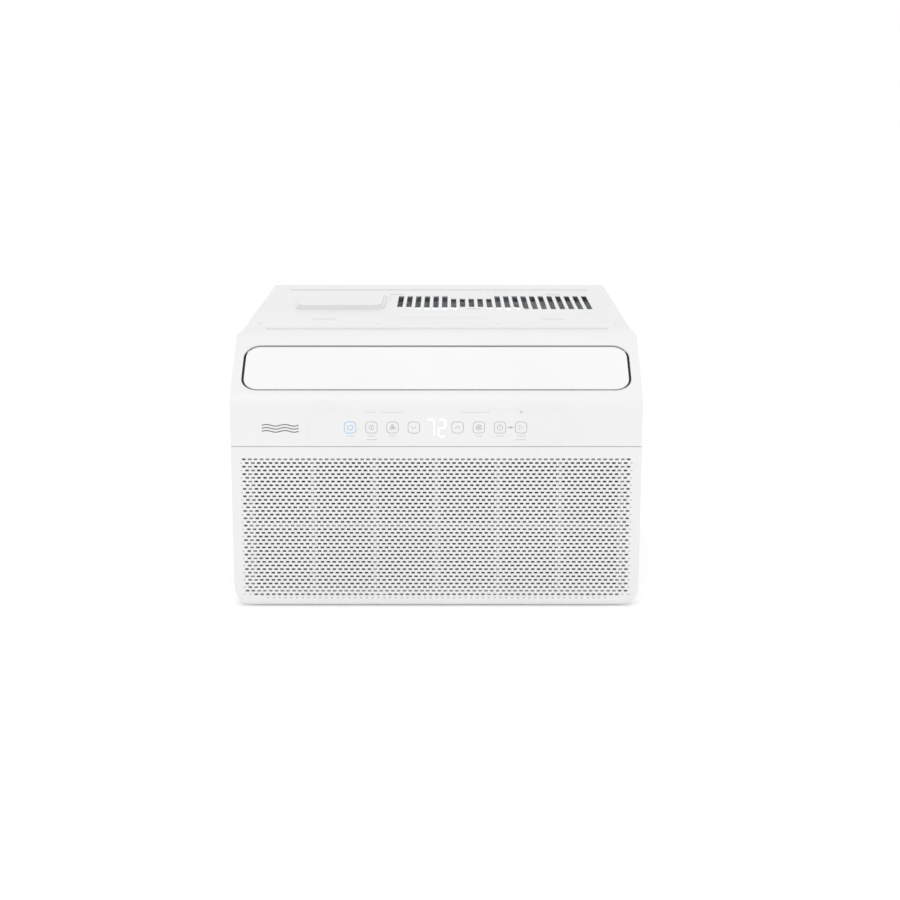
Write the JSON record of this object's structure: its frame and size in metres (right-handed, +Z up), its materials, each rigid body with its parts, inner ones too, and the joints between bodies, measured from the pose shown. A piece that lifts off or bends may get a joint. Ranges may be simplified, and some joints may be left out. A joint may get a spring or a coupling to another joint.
{
  "type": "window air conditioner",
  "caption": "White window air conditioner with a perforated hinged intake grille, a sloping outlet flap over tied vanes, and a steel sleeve.",
  "frame": {"origin": "middle of the bounding box's footprint, at the bottom of the base pan", "axes": "+Z up, -Y towards the room and the control panel, +X to the right seen from the room"},
  "size_m": [0.48, 0.538, 0.3181],
  "materials": {
    "painted_steel": "fine satin powder coat",
    "galvanised_steel": "zinc coated sheet",
    "front_plastic": "fine spark-eroded texture",
    "duct_plastic": "plain moulded",
    "touch_panel": "semi-gloss touch film",
    "display_light": "lit white digits",
    "circuit_board": "solder mask",
    "filter_plastic": "plain moulded",
    "filter_net": "woven nylon net",
    "foam": "moulded bead foam",
    "fan_plastic": "glass filled",
    "bright_steel": "zinc plated",
    "motor_steel": "rolled shell",
    "rubber": "moulded rubber",
    "fin_aluminium": "blue-grey coated fin stock",
    "copper": "drawn copper tube",
    "black_steel": "black enamel",
    "black_plastic": "moulded"
  },
  "bodies": {
    "chassis": {"base_pan": "galvanised_steel", "drain_plug": "rubber", "cabinet": "painted_steel", "rear_guard": "painted_steel", "rear_screws": "bright_steel", "bulkhead": "galvanised_steel", "front_frame": "front_plastic", "frame_screws": "bright_steel", "control_overlay": "touch_panel", "display_board": "circuit_board", "display_digits": "display_light", "flap_motor": "motor_steel", "flap_motor_screws": "bright_steel", "outlet_duct": "duct_plastic", "blower_scroll": "foam", "fan_motor": "motor_steel", "motor_bracket": "galvanised_steel", "motor_rings": "rubber", "fan_shroud": "galvanised_steel", "evaporator_fins": "fin_aluminium", "evaporator_tubes": "copper", "drip_tray": "foam", "room_sensor": "black_plastic", "condenser_fins": "fin_aluminium", "condenser_tubes": "copper", "compressor": "black_steel", "terminal_cover": "black_plastic", "compressor_grommets": "rubber", "compressor_nuts": "bright_steel", "accumulator": "black_steel", "suction_line": "copper", "discharge_line": "copper", "liquid_line": "copper", "filter_drier": "copper", "capillary_tube": "copper", "control_box": "galvanised_steel", "control_box_lid": "galvanised_steel", "main_board": "circuit_board", "bus_capacitors": "black_plastic", "cord_gland": "front_plastic"},
    "grille_door": {"intake_grille": "front_plastic", "filter_frame": "filter_plastic", "filter_mesh": "filter_net"},
    "flap": {"outlet_flap": "front_plastic", "flap_motor_shaft": "bright_steel"},
    "fan_rotor": {"blower_wheel": "fan_plastic", "fan_shaft": "bright_steel", "outdoor_fan": "fan_plastic", "shaft_nuts": "bright_steel"},
    "tie_bar": {"vane_tie_bar": "duct_plastic"},
    "vane_1_body": {"vane_1": "duct_plastic"},
    "vane_2_body": {"vane_2": "duct_plastic"},
    "vane_3_body": {"vane_3": "duct_plastic"},
    "vane_4_body": {"vane_4": "duct_plastic"},
    "vane_5_body": {"vane_5": "duct_plastic"},
    "vane_6_body": {"vane_6": "duct_plastic"},
    "vane_7_body": {"vane_7": "duct_plastic"},
    "vane_8_body": {"vane_8": "duct_plastic"},
    "vane_9_body": {"vane_9": "duct_plastic"}
  },
  "joints": [
    {"name": "grille_hinge", "type": "hinge", "parent": "chassis", "child": "grille_door", "pos_m": [0, -0.261, 0.009], "axis": [1, 0, 0], "range_deg": [0, 60]},
    {"name": "flap_hinge", "type": "hinge", "parent": "chassis", "child": "flap", "pos_m": [0, -0.20069, 0.29609], "axis": [-1, 0, 0], "range_deg": [0, 50]},
    {"name": "fan_spin", "type": "hinge", "parent": "chassis", "child": "fan_rotor", "pos_m": [0.075, 0.031, 0.125], "axis": [0, 1, 0], "continuous": true},
    {"name": "vane_1_turn", "type": "hinge", "parent": "chassis", "child": "vane_1_body", "pos_m": [-0.184, -0.20625, 0.25118], "axis": [0, 0.8211, 0.5707], "range_deg": [-35, 35]},
    {"name": "vane_2_turn", "type": "hinge", "parent": "chassis", "child": "vane_2_body", "pos_m": [-0.138, -0.20625, 0.25118], "axis": [0, 0.8211, 0.5707], "range_deg": [-35, 35]},
    {"name": "vane_3_turn", "type": "hinge", "parent": "chassis", "child": "vane_3_body", "pos_m": [-0.092, -0.20625, 0.25118], "axis": [0, 0.8211, 0.5707], "range_deg": [-35, 35]},
    {"name": "vane_4_turn", "type": "hinge", "parent": "chassis", "child": "vane_4_body", "pos_m": [-0.046, -0.20625, 0.25118], "axis": [0, 0.8211, 0.5707], "range_deg": [-35, 35]},
    {"name": "vane_5_turn", "type": "hinge", "parent": "chassis", "child": "vane_5_body", "pos_m": [0, -0.20625, 0.25118], "axis": [0, 0.8211, 0.5707], "range_deg": [-35, 35]},
    {"name": "vane_6_turn", "type": "hinge", "parent": "chassis", "child": "vane_6_body", "pos_m": [0.046, -0.20625, 0.25118], "axis": [0, 0.8211, 0.5707], "range_deg": [-35, 35]},
    {"name": "vane_7_turn", "type": "hinge", "parent": "chassis", "child": "vane_7_body", "pos_m": [0.092, -0.20625, 0.25118], "axis": [0, 0.8211, 0.5707], "range_deg": [-35, 35]},
    {"name": "vane_8_turn", "type": "hinge", "parent": "chassis", "child": "vane_8_body", "pos_m": [0.138, -0.20625, 0.25118], "axis": [0, 0.8211, 0.5707], "range_deg": [-35, 35]},
    {"name": "vane_9_turn", "type": "hinge", "parent": "chassis", "child": "vane_9_body", "pos_m": [0.184, -0.20625, 0.25118], "axis": [0, 0.8211, 0.5707], "range_deg": [-35, 35]},
    {"name": "tie_bar_pivot", "type": "hinge", "parent": "vane_1_body", "child": "tie_bar", "pos_m": [-0.184, -0.20112, 0.24379], "axis": [0, 0.8211, 0.5707], "range_deg": [-35, 35]}
  ],
  "couplings": [
    {"joint": "vane_2_turn", "follows": "vane_1_turn", "ratio": 1},
    {"joint": "vane_3_turn", "follows": "vane_1_turn", "ratio": 1},
    {"joint": "vane_4_turn", "follows": "vane_1_turn", "ratio": 1},
    {"joint": "vane_5_turn", "follows": "vane_1_turn", "ratio": 1},
    {"joint": "vane_6_turn", "follows": "vane_1_turn", "ratio": 1},
    {"joint": "vane_7_turn", "follows": "vane_1_turn", "ratio": 1},
    {"joint": "vane_8_turn", "follows": "vane_1_turn", "ratio": 1},
    {"joint": "vane_9_turn", "follows": "vane_1_turn", "ratio": 1},
    {"joint": "tie_bar_pivot", "follows": "vane_1_turn", "ratio": -1}
  ]
}
